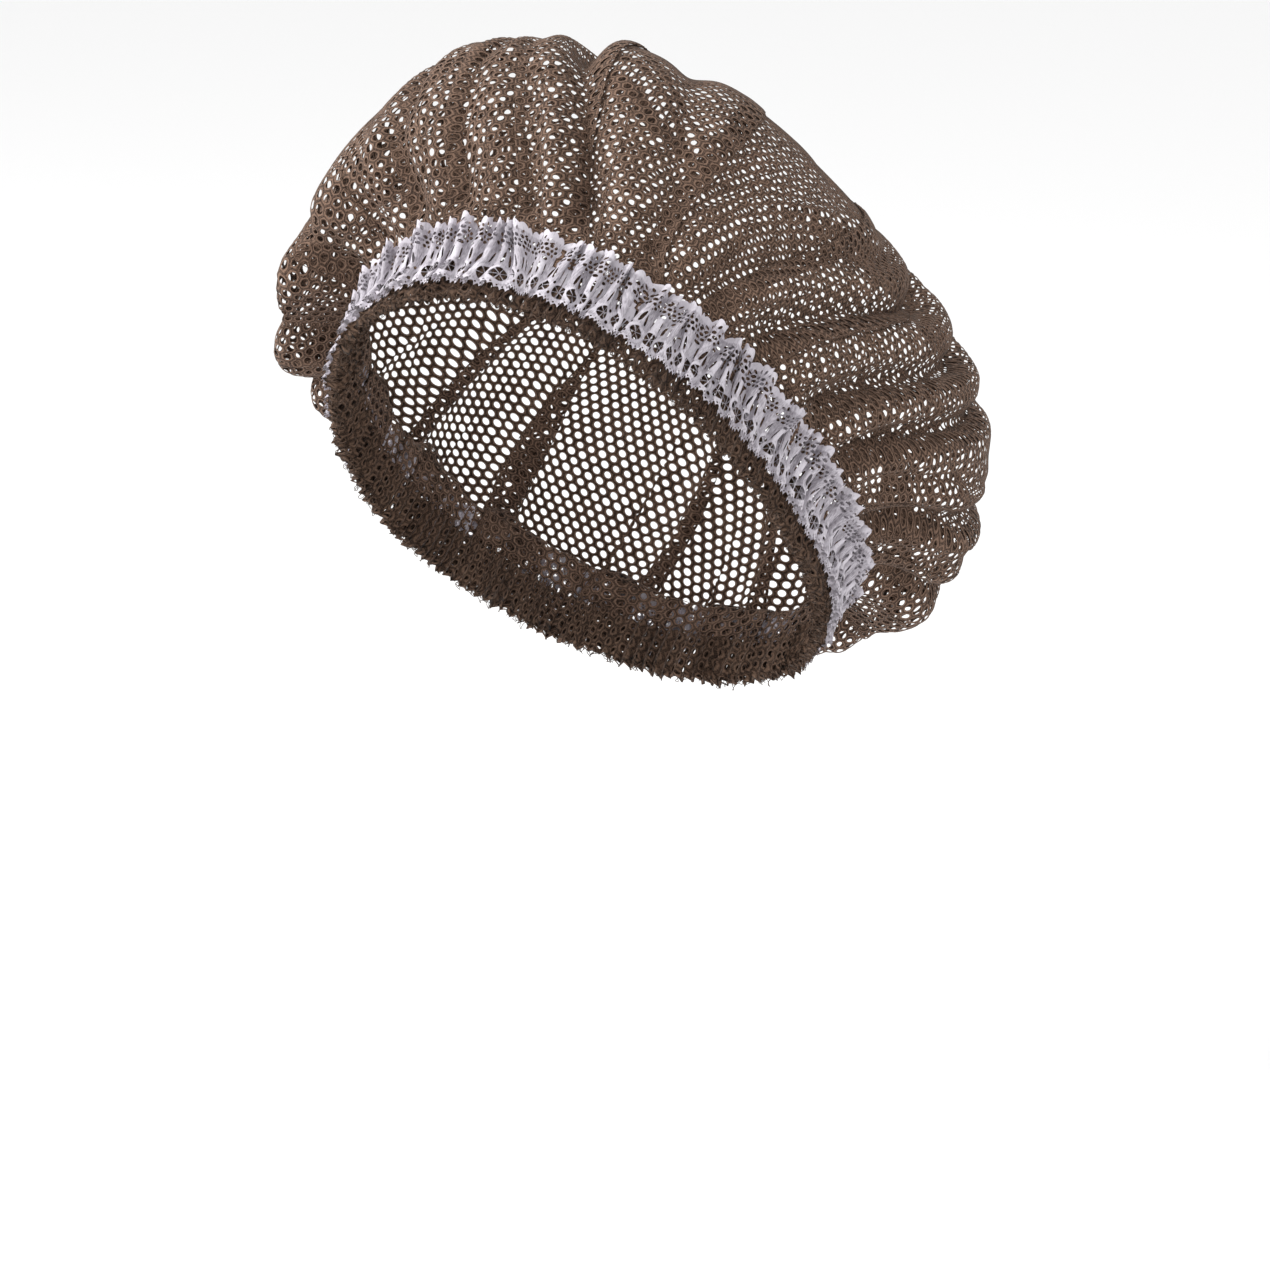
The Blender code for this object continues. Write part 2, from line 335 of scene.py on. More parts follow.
def band_radius(azimuth, outside=0.0):
    """Distance from the band's axis to an oval that lies outside the head opening."""
    half_width = OPENING_WIDTH / 2 + outside
    half_length = OPENING_LENGTH / 2 + outside
    angle = np.radians(azimuth)
    return half_width * half_length / np.hypot(half_length * np.sin(angle), half_width * np.cos(angle))


def band_drop(azimuth):
    """How far the band has curved down at this azimuth."""
    return SIDE_DIP * np.sin(np.radians(azimuth)) ** 2


def place_round(azimuth, radius, height):
    """Points round the band's axis."""
    angle = np.radians(azimuth)
    return np.stack([radius * np.sin(angle), -radius * np.cos(angle), height], axis=-1)


def lean_back(points):
    """Turns points from the band's own axis to the way the cap is worn."""
    lean = np.radians(BAND_LEAN)
    across, along, up = points[..., 0], points[..., 1], points[..., 2]
    back = along * np.cos(lean) + up * np.sin(lean)
    rise = up * np.cos(lean) - along * np.sin(lean)
    return np.stack([across, back, rise], axis=-1)


def smooth(value):
    """Eases a value from 0 to 1."""
    value = np.clip(value, 0.0, 1.0)
    return value * value * (3.0 - 2.0 * value)


def sample_round(grid, azimuth, share):
    """Reads a grid that closes round its first axis, between its rows and columns."""
    columns, rings = grid.shape[:2]
    across = azimuth / 360.0 * columns
    up = np.clip(share, 0.0, 1.0) * (rings - 1)
    column = np.floor(across).astype(int)
    ring = np.minimum(up.astype(int), rings - 2)
    across, up = (across - column)[..., None], (up - ring)[..., None]
    here, there = column % columns, (column + 1) % columns
    low = grid[here, ring] * (1 - across) + grid[there, ring] * across
    high = grid[here, ring + 1] * (1 - across) + grid[there, ring + 1] * across
    return low * (1 - up) + high * up


def grid_normals(points):
    """Outward unit normals of a grid that closes round its first axis."""
    round_step = np.roll(points, -1, axis=0) - np.roll(points, 1, axis=0)
    up_step = np.gradient(points, axis=1)
    normals = np.cross(round_step, up_step)
    return normals / np.maximum(np.linalg.norm(normals, axis=-1, keepdims=True), 1e-12)


# The crown's form


def section_table(azimuths, shares):
    """Radius and height of the crown's sections, at even shares of the way from neck to top."""
    neck_radius = band_radius(azimuths, HEM_WALL / 2 + CROWN_WALL / 2) + NECK_LEAN
    neck_top = NECK_HEIGHT - band_drop(azimuths)
    widest = neck_radius + read_round("reach", azimuths) * PUFF
    bulge = read_round("bulge", azimuths) * CROWN_HEIGHT
    power = 2.0 / read_round("fullness", azimuths)
    handle = SPRING * np.hypot(widest - neck_radius, bulge - neck_top)
    lift = np.radians(SPRING_ANGLE)
    t = np.linspace(0.0, 1.0, SWELL_STEPS)
    weights = (1 - t) ** 3, 3 * t * (1 - t) ** 2, 3 * t ** 2 * (1 - t), t ** 3
    radii = neck_radius, neck_radius + handle * np.cos(lift), widest, widest
    heights = neck_top, neck_top + handle * np.sin(lift), bulge - handle, bulge
    swell_radius = sum(np.outer(radius, weight) for weight, radius in zip(weights, radii))
    swell_height = sum(np.outer(height, weight) for weight, height in zip(weights, heights))
    turn = np.linspace(0.0, np.pi / 2, DOME_STEPS)[1:]
    dome_radius = widest[:, None] * np.maximum(np.cos(turn), 0.0) ** power[:, None]
    dome_height = bulge[:, None] + (CROWN_HEIGHT - bulge)[:, None] * np.sin(turn) ** power[:, None]
    radius = np.hstack([swell_radius, dome_radius])
    height = np.hstack([swell_height, dome_height])
    steps = np.hypot(np.diff(radius), np.diff(height))
    length = np.hstack([np.zeros((len(azimuths), 1)), np.cumsum(steps, axis=1)])
    table = np.empty((len(azimuths), len(shares), 2))
    for row in range(len(azimuths)):
        stops = shares * length[row, -1]
        table[row, :, 0] = np.interp(stops, length[row], radius[row])
        table[row, :, 1] = np.interp(stops, length[row], height[row])
    return table


def drift(foot, share):
    """How far a gather has drifted round the cap from its foot, at a share of its way up."""
    return read_round("lean", foot) * smooth(share / LEAN_REACH)


def girth_radius(foot, share):
    """About how far the net lies from the band's axis, to turn degrees round it into metres."""
    return band_radius(foot) + PUFF * np.sin(np.pi * np.clip(share, 0.0, 0.5))


def fold_depths(foot, share):
    """How far the folds and fine gathers draw the net in, as in the crown's solid."""
    radius = girth_radius(foot, share)
    fade_start, fade_end = FOLD_FADE
    depth = np.zeros_like(foot)
    for fold in FOLDS:
        run = np.minimum(share / fold["reach"], fade_end)
        line = fold["foot"] + fold["stray"] * run
        across = np.radians(turn_between(line, foot)) * radius / (FOLD_WIDTH * fold["width"])
        along = smooth(np.clip(run / FOLD_FOOT, 0.0, 1.0) * (fade_end - run) / (fade_end - fade_start))
        valley = np.exp(-FOLD_SHARPNESS * across ** 2)
        banks = np.exp(-BANK_SHARPNESS * across ** 2)
        depth += FOLD_DEPTH * fold["depth"] * along * (valley - FOLD_BANK * banks)
    fade = np.clip(share / GATHER_START, 0.0, 1.0) * np.clip(1.0 - share / GATHER_REACH, 0.0, 1.0)
    depth += GATHER_DEPTH * fade * np.sin(np.radians(foot) * GATHERS)
    return depth


def crease_depths(foot, share):
    """Small sharp creases that fan out from the band, and shallow dents higher up."""
    radius = girth_radius(foot, share)
    depth = np.zeros_like(foot)
    for _ in range(CREASES):
        start = random.uniform(0.0, 360.0)
        stray = random.normal(0.0, CREASE_STRAY)
        low = random.uniform(*CREASE_FOOT)
        reach = random.uniform(*CREASE_REACH)
        size = random.uniform(*CREASE_SIZE)
        run = (share - low) / reach
        line = start + stray * run
        across = np.radians(turn_between(line, foot)) * radius / (CREASE_WIDTH * (0.6 + size))
        along = smooth(2.5 * run) * smooth(2.5 * (1.0 - run))
        valley = np.exp(-3.0 * np.abs(across) ** 1.5)
        banks = np.exp(-0.6 * across ** 2)
        depth += CREASE_DEPTH * size * along * (valley - CREASE_BANK * banks)
    return depth


def foot_below(azimuth, share):
    """The azimuth at which the gather that passes a place starts: drift, worked backwards."""
    feet = np.linspace(-180.0, 540.0, 1441)
    foot = np.empty_like(azimuth)
    for ring in range(azimuth.shape[1]):
        foot[:, ring] = np.interp(azimuth[:, ring], feet + drift(feet, share[:, ring][0]), feet)
    return foot


def worn_crown():
    """The worn net as a grid of points: columns go round from the front, rings climb to the top."""
    columns = np.arange(FORM_COLUMNS) * 360.0 / FORM_COLUMNS
    shares = np.linspace(0.0, 1.0, FORM_RINGS)
    table_azimuths = np.arange(TABLE_COLUMNS) * 360.0 / TABLE_COLUMNS
    table = section_table(table_azimuths, np.linspace(0.0, 1.0, TABLE_RINGS))
    azimuth, share = np.meshgrid(columns, shares, indexing="ij")
    foot = foot_below(azimuth, share)
    section = sample_round(table, azimuth, share)
    bag = place_round(azimuth, section[..., 0], section[..., 1])
    depth = fold_depths(foot, share) + crease_depths(foot, share)
    bag -= grid_normals(bag) * (depth * smooth((1.0 - share) / TOP_FADE))[..., None]
    rim_radius = band_radius(columns, HEM_WALL / 2 + CROWN_WALL / 2)
    rim = place_round(columns, rim_radius, -band_drop(columns))
    neck_share = NECK_HEIGHT / NET_RADIUS
    neck_rings = int(round(neck_share / (1 - neck_share) * len(shares)))
    climb = (np.arange(neck_rings) / neck_rings)[None, :, None]
    neck = rim[:, None] * (1 - climb) + bag[:, :1] * climb
    return np.concatenate([neck, bag], axis=1)


# Knitting


def net_cells(centres, hole_share):
    """Ridged net round holes at these flat centres: flat points, rise of each, and its faces."""
    half_row = ROW_PITCH / 2
    near = (COLUMN_PITCH ** 2 - half_row ** 2) / (2 * COLUMN_PITCH)
    far = (COLUMN_PITCH ** 2 + half_row ** 2) / (2 * COLUMN_PITCH)
    upper = (far, 0), (near, half_row), (-near, half_row)
    lower = (-far, 0), (-near, -half_row), (near, -half_row)
    corners = np.array(upper + lower)
    middles = (corners + np.roll(corners, -1, axis=0)) / 2
    edge = np.stack([corners, middles], axis=1).reshape(-1, 2)
    angle = np.arctan2(edge[:, 1] / HOLE_LENGTH, edge[:, 0] / HOLE_WIDTH)
    hole = np.stack([HOLE_WIDTH / 2 * np.cos(angle), HOLE_LENGTH / 2 * np.sin(angle)], axis=-1)
    size = hole_share * (1.0 + random.uniform(-HOLE_UNEVEN, HOLE_UNEVEN, (len(centres), 1, 1)))
    outer = centres[:, None] + edge[None]
    inner = centres[:, None] + hole[None] * size
    keys = np.round(outer.reshape(-1, 2) * 1e6 / 50).astype(np.int64)
    _, first, place = np.unique(keys, axis=0, return_index=True, return_inverse=True)
    shared = outer.reshape(-1, 2)[first]
    points = np.concatenate([shared, inner.reshape(-1, 2)])
    rise = np.concatenate([np.ones(len(shared)), np.zeros(inner.shape[0] * HOLE_SIDES)])
    outer_index = place.reshape(-1, HOLE_SIDES)
    inner_index = len(shared) + np.arange(len(centres) * HOLE_SIDES).reshape(-1, HOLE_SIDES)
    faces = np.stack([
        inner_index,
        outer_index,
        np.roll(outer_index, -1, axis=1),
        np.roll(inner_index, -1, axis=1),
    ], axis=-1).reshape(-1, 4)
    return points, rise, faces


def staggered(width, length):
    """Flat centres of holes over a rectangle round the origin, every other column half a row off."""
    half_columns = int(width / COLUMN_PITCH / 2) + 1
    half_rows = int(length / ROW_PITCH / 2) + 1
    columns = np.arange(-half_columns, half_columns + 1)
    rows = np.arange(-half_rows, half_rows + 1)
    column, row = np.meshgrid(columns, rows, indexing="ij")
    centres = np.stack([column * COLUMN_PITCH, (row + 0.5 * (column % 2)) * ROW_PITCH], axis=-1)
    return centres.reshape(-1, 2)


def make_object(name, points, faces, flat, rise, material):
    """A cloth object from arrays. Its UV map holds flat cloth coordinates in centimetres."""
    mesh = bpy.data.meshes.new(name)
    mesh.vertices.add(len(points))
    mesh.vertices.foreach_set("co", points.astype(np.float32).ravel())
    sides = faces.shape[1]
    mesh.loops.add(faces.size)
    mesh.loops.foreach_set("vertex_index", faces.astype(np.int32).ravel())
    mesh.polygons.add(len(faces))
    mesh.polygons.foreach_set("loop_start", np.arange(len(faces), dtype=np.int32) * sides)
    cloth_map = mesh.uv_layers.new(name="cloth")
    cloth_map.data.foreach_set("uv", (flat[faces.ravel()] * 100).astype(np.float32).ravel())
    rise_pattern = mesh.attributes.new("rise", "FLOAT", "POINT")
    rise_pattern.data.foreach_set("value", rise.astype(np.float32))
    mesh.materials.append(material)
    mesh.update(calc_edges=True)
    mesh.shade_smooth()
    mesh.validate()
    piece = bpy.data.objects.new(name, mesh)
    bpy.context.scene.collection.objects.link(piece)
    return piece


def tuck_table():
    """The tucks in order round the band: one at each fold, and a small one between each two."""
    rows = []
    for fold in FOLDS:
        weight = FOLD_TUCK[0] + FOLD_TUCK[1] * fold["depth"]
        rows.append((fold["foot"], weight, fold["reach"] * FOLD_FADE[1], TUCK_HOLD, 0.0))
    feet = np.sort(FOLDS["foot"])
    for low, high in zip(feet, np.append(feet[1:], feet[0] + 360)):
        foot = (low + (high - low) * random.uniform(*EXTRA_PLACE)) % 360.0
        weight = random.uniform(*EXTRA_WEIGHT)
        reach = random.uniform(*EXTRA_REACH)
        rows.append((foot, weight, reach, EXTRA_HOLD, 0.0))
    columns = "foot", "weight", "reach", "hold", "side"
    tucks = np.array(rows, dtype=[(column, float) for column in columns])
    tucks = tucks[np.argsort(tucks["foot"])]
    tucks["side"] = np.where(random.random(len(tucks)) < 0.5, -1.0, 1.0)
    return tucks


def follow_folds(foot, share):
    """How far the net has strayed sideways with the folds that it lies nearest."""
    pull, weight = np.zeros_like(foot), np.full_like(foot, 0.05)
    for fold in FOLDS:
        near = fold["depth"] * np.exp(-(turn_between(fold["foot"], foot) / FOLD_NEAR) ** 2)
        pull += near * fold["stray"] * np.minimum(share / fold["reach"], 1.0)
        weight += near
    return pull / weight


def tuck_places(feet, climb):
    """The azimuth of every tuck at each point's share of the way up."""
    foot, share = np.meshgrid(feet, np.linspace(0.0, 1.0, TUCK_STEPS + 1))
    lines = np.maximum.accumulate(foot + drift(foot, share) + follow_folds(foot, share), axis=1)
    row = np.minimum((climb * TUCK_STEPS).astype(int), TUCK_STEPS - 1)
    part = (climb * TUCK_STEPS - row)[:, None]
    return lines[row] * (1 - part) + lines[row + 1] * part


def tuck_in(flat_azimuth, climb, excess):
    """Where net at a flat azimuth lies once it is tucked: its azimuth and its lift off the form."""
    tucks = tuck_table()
    places = tuck_places(tucks["foot"], climb)
    start = places[:, :1]
    turned = (flat_azimuth[:, None] - start) % 360.0
    places = np.concatenate([places - start, np.full_like(start, 360.0)], axis=1)
    here = (places[:, :-1] <= turned).sum(axis=1) - 1
    there = (here + 1) % len(tucks)
    row = np.arange(len(here))
    gap = np.maximum(places[row, here + 1] - places[row, here], 0.01)
    past = np.clip(turned[:, 0] - places[row, here], 0.0, gap)
    spare = np.clip((1.0 - 1.0 / excess) / TUCK_TAKE, 0.0, 0.9)

    def half_of(tuck, other):
        """Half the width of flat net that a tuck takes, next to another one."""
        lasts = smooth(TUCK_FADE * (1.0 - climb / tucks["reach"][tuck]))
        loose = spare * (TUCK_LOOSE + (1.0 - TUCK_LOOSE) * lasts)
        folded = np.maximum(loose, tucks["hold"][tuck] * lasts)
        weight, other_weight = tucks["weight"][tuck], tucks["weight"][other]
        return gap * folded * weight / (weight + other_weight)

    half_here, half_there = half_of(here, there), half_of(there, here)
    stretch = gap / (gap - TUCK_TAKE * (half_here + half_there))
    calm = (1.0 - TUCK_TAKE) * stretch
    wave = TUCK_OVERLAP * (stretch - calm) / (2 * np.pi)

    def in_tuck(offset, half):
        """How far net moves inside a tuck, forwards, back and forwards, and its place in the tuck."""
        phase = offset / np.maximum(2 * half, 1e-9)
        return 2 * half * (calm * phase - wave * np.sin(2 * np.pi * phase)), phase

    def height_in(tuck, half, phase):
        """How high net lies in a tuck, from 0 for its lowest layer to 1 for its highest."""
        return smooth(half / 2.0) * (0.5 + tucks["side"][tuck] * np.clip(phase, -0.5, 0.5))

    first, first_phase = in_tuck(np.minimum(past, half_here), half_here)
    last, last_phase = in_tuck(np.maximum(past - gap, -half_there), half_there)
    middle = first + stretch * (past - half_here)
    moved = np.where(past > gap - half_there, gap + last, middle)
    moved = np.where(past < half_here, first, moved)
    height_here = height_in(here, half_here, first_phase)
    height_there = height_in(there, half_there, last_phase)
    plain = np.maximum(gap - half_here - half_there, 1e-6)
    across = np.clip((past - half_here) / plain, 0.0, 1.0)
    lift = TUCK_LIFT * (height_here * (1 - across) + height_there * across)
    return start[:, 0] + places[row, here] + moved, lift


def build_crown(material):
    """The net bag, in four quarters so that no mesh is too heavy."""
    worn = worn_crown()
    normals = grid_normals(worn)
    normals[:, -1] = normals[:, -3:-1].mean(axis=(0, 1))
    rings = worn.shape[1]
    girth = np.linalg.norm(np.roll(worn, -1, axis=0) - worn, axis=-1).sum(axis=0)
    climb_steps = np.linspace(0.0, 1.0, rings)
    flat_girth = 2 * np.pi * NET_RADIUS * (1.0 - climb_steps)
    excess_steps = np.maximum(flat_girth / np.maximum(girth, 1e-6), 1.0)
    centres = staggered(2 * NET_RADIUS, 2 * NET_RADIUS)
    centres = centres[np.hypot(*centres.T) < NET_RADIUS - ROW_PITCH / 2]
    flat, rise, faces = net_cells(centres, 1.0)
    distance = np.hypot(flat[:, 0], flat[:, 1])
    climb = np.clip(1.0 - distance / NET_RADIUS, 0.0, 1.0)
    flat_azimuth = np.degrees(np.arctan2(flat[:, 0], -flat[:, 1]))
    excess = np.interp(climb, climb_steps, excess_steps)
    azimuth, lift = tuck_in(flat_azimuth, climb, excess)
    points = sample_round(worn, azimuth, climb)
    outward = sample_round(normals, azimuth, climb)
    outward /= np.maximum(np.linalg.norm(outward, axis=-1, keepdims=True), 1e-9)
    points = lean_back(points + outward * (lift + rise * THREAD_RISE)[:, None])
    quarter = (flat_azimuth[faces[:, 0]] % 360.0 // 90.0).astype(int)
    pieces = []
    for number, side in enumerate(("front_left", "back_left", "back_right", "front_right")):
        chosen = faces[quarter == number]
        used, renumbered = np.unique(chosen, return_inverse=True)
        corners = renumbered.reshape(-1, 4)
        name = f"crown_net_{side}"
        pieces.append(make_object(name, points[used], corners, flat[used], rise[used], material))
    return pieces


# Lace


def arc(centre, radius, count, start, end):
    """Points on an arc, from one angle to another."""
    turn = np.linspace(start, end, count)
    return np.stack([centre[0] + radius * np.cos(turn), centre[1] + radius * np.sin(turn)], axis=-1)


def web_eyelet(centre, radius, spokes, web):
    """The gaps of a round eyelet that a web of threads crosses: one wedge between each two spokes."""
    gaps = []
    for spoke in range(spokes):
        start = 2 * np.pi * spoke / spokes + 0.4
        edge_turn = np.arcsin(web / radius)
        rim = arc(centre, radius, 5, start + edge_turn, start + 2 * np.pi / spokes - edge_turn)
        middle = start + np.pi / spokes
        inner = centre + 1.6 * web * np.array([np.cos(middle), np.sin(middle)])
        gaps.append(np.vstack([rim, inner]))
    return gaps


def oval(centre, width, height, count, tilt=0.0):
    """An oval, tilted by an angle."""
    turn = np.linspace(0.0, 2 * np.pi, count, endpoint=False)
    across = width / 2 * np.cos(turn)
    up = height / 2 * np.sin(turn)
    x = centre[0] + across * np.cos(tilt) - up * np.sin(tilt)
    y = centre[1] + across * np.sin(tilt) + up * np.cos(tilt)
    return np.stack([x, y], axis=-1)


def lace_cut(kind, across, up, tilt=0.0):
    """One oval gap of the lace's pattern, placed in millimetres."""
    width, height, corners = LACE_CUTS[kind]
    return oval(np.array([across, up]) * MM, width * MM, height * MM, corners, tilt)


def lace_gaps():
    """The cut-out places of one repeat of the lace, in metres from its lower left corner."""
    gaps = []
    for flower in FLOWERS:
        centre = np.array([flower["across"], FLOWER_UP]) * MM
        gaps += web_eyelet(centre, flower["radius"] * MM, FLOWER_PETALS, FLOWER_THREAD * MM)
    for up in (3.4, 7.8):
        gaps.append(lace_cut("between flowers", LACE_MIDDLE, up))
    for step in range(9):
        gaps.append(lace_cut("over picots", 1.0 + 1.38 * step, 1.45))
    for stem in (3.25, 9.75):
        for side in (-1, 1):
            gaps.append(lace_cut("beside leaf", stem + side * 1.55, 11.3, side * 0.16))
        gaps.append(lace_cut("over leaf", stem, 14.7))
    for row in range(3):
        for step in range(8):
            across = 1.0 + 1.55 * step + 0.7 * (row % 2)
            gaps.append(lace_cut("open ground", across, 16.35 + 1.42 * row, 0.5 * row))
    for step in range(7):
        turn = np.radians(33 + 19 * step)
        across, up = LACE_MIDDLE + 4.3 * np.cos(turn), 18.1 + 3.4 * np.sin(turn)
        gaps.append(lace_cut("fan", across, up, turn - np.pi / 2))
    return gaps


def lace_outline():
    """The outer edge of one repeat: pointed picots below, a fan of small scallops above."""
    x = np.linspace(0.0, LACE_TILE, 81)
    low = PICOT_DEPTH * MM * np.abs(np.sin(np.pi * PICOTS * x / LACE_TILE))
    fan = np.abs(np.sin(np.pi * x / LACE_TILE)) ** 0.5
    lobe = np.abs(np.sin(np.pi * FAN_LOBES * x / LACE_TILE))
    high = LACE_DEPTH + (FAN_RISE * (fan - 1.0) + LOBE_RISE * (lobe - 1.0)) * MM
    side = np.linspace(low[-1], high[-1], 40)[1:-1]
    right = np.stack([np.full_like(side, LACE_TILE), side], axis=-1)
    left = np.stack([np.zeros_like(side), side[::-1]], axis=-1)
    return np.vstack([np.stack([x, low], axis=-1), right, np.stack([x, high], axis=-1)[::-1], left])


def inside(points, outline):
    """Which points lie inside a closed outline."""
    x, y = points[:, 0][:, None], points[:, 1][:, None]
    start, end = outline, np.roll(outline, -1, axis=0)
    rise = end[:, 1] - start[:, 1]
    rise = np.where(rise == 0, 1e-12, rise)
    crosses = (start[:, 1] > y) != (end[:, 1] > y)
    meets = start[:, 0] + (y - start[:, 1]) * (end[:, 0] - start[:, 0]) / rise
    return (crosses & (x < meets)).sum(axis=1) % 2 == 1


def lace_tile():
    """One repeat of the lace as flat points and triangles."""
    outline, gaps = lace_outline(), lace_gaps()
    loops = [outline] + gaps
    across, up = np.meshgrid(np.arange(0, LACE_TILE, LACE_GRAIN), np.arange(0, LACE_DEPTH, LACE_GRAIN))
    grains = np.stack([across.ravel(), up.ravel()], axis=-1)
    grains += random.uniform(-0.2, 0.2, grains.shape) * LACE_GRAIN
    edges = np.vstack(loops)
    nearest = np.min(np.linalg.norm(grains[:, None] - edges[None], axis=-1), axis=1)
    grains = grains[(nearest > 0.5 * LACE_GRAIN) & inside(grains, outline)]
    for gap in gaps:
        grains = grains[~inside(grains, gap)]
    points, links = [], []
    for loop in loops:
        first = len(points)
        points += [Vector(point) for point in loop]
        links += [(first + step, first + (step + 1) % len(loop)) for step in range(len(loop))]
    points += [Vector(point) for point in grains]
    flat, _, triangles, *_ = delaunay_2d_cdt(points, links, [], 1, 1e-7)
    flat = np.array([tuple(point) for point in flat])
    triangles = np.array([tuple(triangle) for triangle in triangles])
    middles = flat[triangles].mean(axis=1)
    kept = np.ones(len(triangles), bool)
    for gap in gaps:
        kept &= ~inside(middles, gap)
    return flat, triangles[kept]


def lace_density(flat):
    """How closely the lace is worked: 1 in its petals, leaves and edges, 0 in its open ground."""
    x, y = flat[:, 0] % LACE_TILE / MM, flat[:, 1] / MM
    dense = np.maximum(smooth((2.2 - y) / 0.8), smooth((y - 20.8) / 1.0))
    for centre in FLOWERS["across"]:
        petals = 1.0 - np.abs(np.hypot(x - centre, y - FLOWER_UP) - 3.0) / 0.9
        leaf = 1.6 - 1.2 * np.hypot((x - centre) / 1.4, (y - 11.4) / 2.9)
        dense = np.maximum(dense, np.maximum(petals, leaf))
    return np.clip(dense, 0.0, 1.0)


def ripple(turn, waves):
    """Adds up waves round the band, each with its size, count and start."""
    return sum(size * np.sin(count * turn + start) for size, count, start in waves)


def eased(values, place, share):
    """Reads values that go round the band, eased from each to the next."""
    here, there = values[place % len(values)], values[(place + 1) % len(values)]
    return here + (there - here) * smooth(share)


def pleat_lace(flat, sizes, leans, knives):
    """Where flat lace lies once it is pleated round the hem."""
    share, up = flat[:, 0] / (LACE_TILE * LACE_TILES), flat[:, 1]
    turn = 2 * np.pi * share
    climb = up / LACE_DEPTH
    pleat = share * LACE_PLEATS + ripple(turn, LACE_SPACING)
    pleat = pleat + 0.16 * climb * np.sin(17 * turn + 2.5 * climb)
    place = np.floor(pleat).astype(int)
    phase = pleat - place
    size = eased(sizes, place, phase)
    lean = eased(leans, place, phase)
    knife = eased(knives, place, phase) * (0.5 + smooth((up - LACE_BELOW) / KNIFE_RISE))
    depth = np.interp(up, LACE_RISES["height"], LACE_RISES["depth"]) * size
    standoff = np.interp(up, LACE_RISES["height"], LACE_RISES["standoff"])
    wave = np.sin(2 * np.pi * phase) + 0.12 * np.sin(6 * np.pi * phase + 3.0 * climb)
    out = depth * (1.0 + wave)
    pitch = 360.0 / LACE_PLEATS
    per_degree = np.radians(1.0) * band_radius(0.0, HEM_WALL)
    azimuth = pitch * (pleat - PLEAT_TURN * size * np.sin(4 * np.pi * phase))
    azimuth = azimuth + (knife * out + lean * (up - LACE_BELOW)) / per_degree
    radius = band_radius(azimuth, HEM_WALL + LACE_CLEAR + standoff + out)
    sag = LACE_WANDER * ripple(turn, LACE_DRIFT) + 0.2 * depth * wave
    height = up - LACE_BELOW - sag - band_drop(azimuth)
    return lean_back(place_round(azimuth, radius, height))


def build_lace(material):
    """The pleated lace, in two halves so that no mesh is too heavy."""
    tile, triangles = lace_tile()
    sizes = random.uniform(*PLEAT_SIZE, LACE_PLEATS)
    leans = random.uniform(*PLEAT_LEAN, LACE_PLEATS)
    knives = random.uniform(*PLEAT_KNIFE, LACE_PLEATS)
    pieces = []
    for half, side in enumerate(("left", "right")):
        tiles = np.arange(LACE_TILES // 2) + half * LACE_TILES // 2
        flat = np.concatenate([tile + (LACE_TILE * number, 0.0) for number in tiles])
        faces = np.concatenate([triangles + step * len(tile) for step in range(len(tiles))])
        keys = np.round(flat / 0.00001).astype(np.int64)
        _, first, place = np.unique(keys, axis=0, return_index=True, return_inverse=True)
        flat, faces = flat[first], place.reshape(-1)[faces]
        points = pleat_lace(flat, sizes, leans, knives)
        pieces.append(make_object(f"lace_{side}", points, faces, flat, lace_density(flat), material))
    return pieces


# Hem


def gather_hem(flat, rise):
    """Where flat net lies once it is folded into the hem and gathered round the band."""
    share, width = flat[:, 0] / HEM_LENGTH + 0.5, flat[:, 1] + HEM_STRIP / 2
    turn = 2 * np.pi * share
    gather = share * HEM_GATHERS + ripple(turn, HEM_SPACING)
    place = np.floor(gather).astype(int)
    phase = gather - place
    size = eased(random.uniform(*GATHER_SIZE, HEM_GATHERS), place, phase)
    drop = eased(random.uniform(*GATHER_DROP, HEM_GATHERS), place, phase)
    outside = np.interp(width, HEM_PATH["width"], HEM_PATH["outside"])
    height = np.interp(width, HEM_PATH["width"], HEM_PATH["height"])
    low = smooth((-height - HEM_RUFFLE_FROM) / HEM_RUFFLE_OVER)
    wave = np.sin(2 * np.pi * phase)
    crumple = np.sin(61 * turn + 900 * width) * np.sin(43 * turn - 1300 * width)
    ruffle = low * HEM_RUFFLE * (size * (1 + wave) * 0.8 + 0.5 * crumple)
    out = outside + HEM_GATHER_DEPTH * wave * size + ruffle
    tuck_under = (0.08 + 0.1 * low) * np.sin(4 * np.pi * phase) * size
    azimuth = 360.0 / HEM_GATHERS * (gather + tuck_under)
    radius = band_radius(azimuth, out + rise * THREAD_RISE)
    level = height - band_drop(azimuth) - low * HEM_RUFFLE_DROP * (drop + 0.4 * crumple)
    return lean_back(place_round(azimuth, radius, level))


def build_hem(material):
    """The casing: net folded double over the elastic, its lower fold ruffled."""
    centres = staggered(HEM_LENGTH, HEM_STRIP)
    fits = (np.abs(centres[:, 0]) < HEM_LENGTH / 2) & (np.abs(centres[:, 1]) < HEM_STRIP / 2)
    flat, rise, faces = net_cells(centres[fits], HEM_HOLE_SHARE)
    points = gather_hem(flat, rise)
    return make_object("hem_casing", points, faces, flat, rise, material)


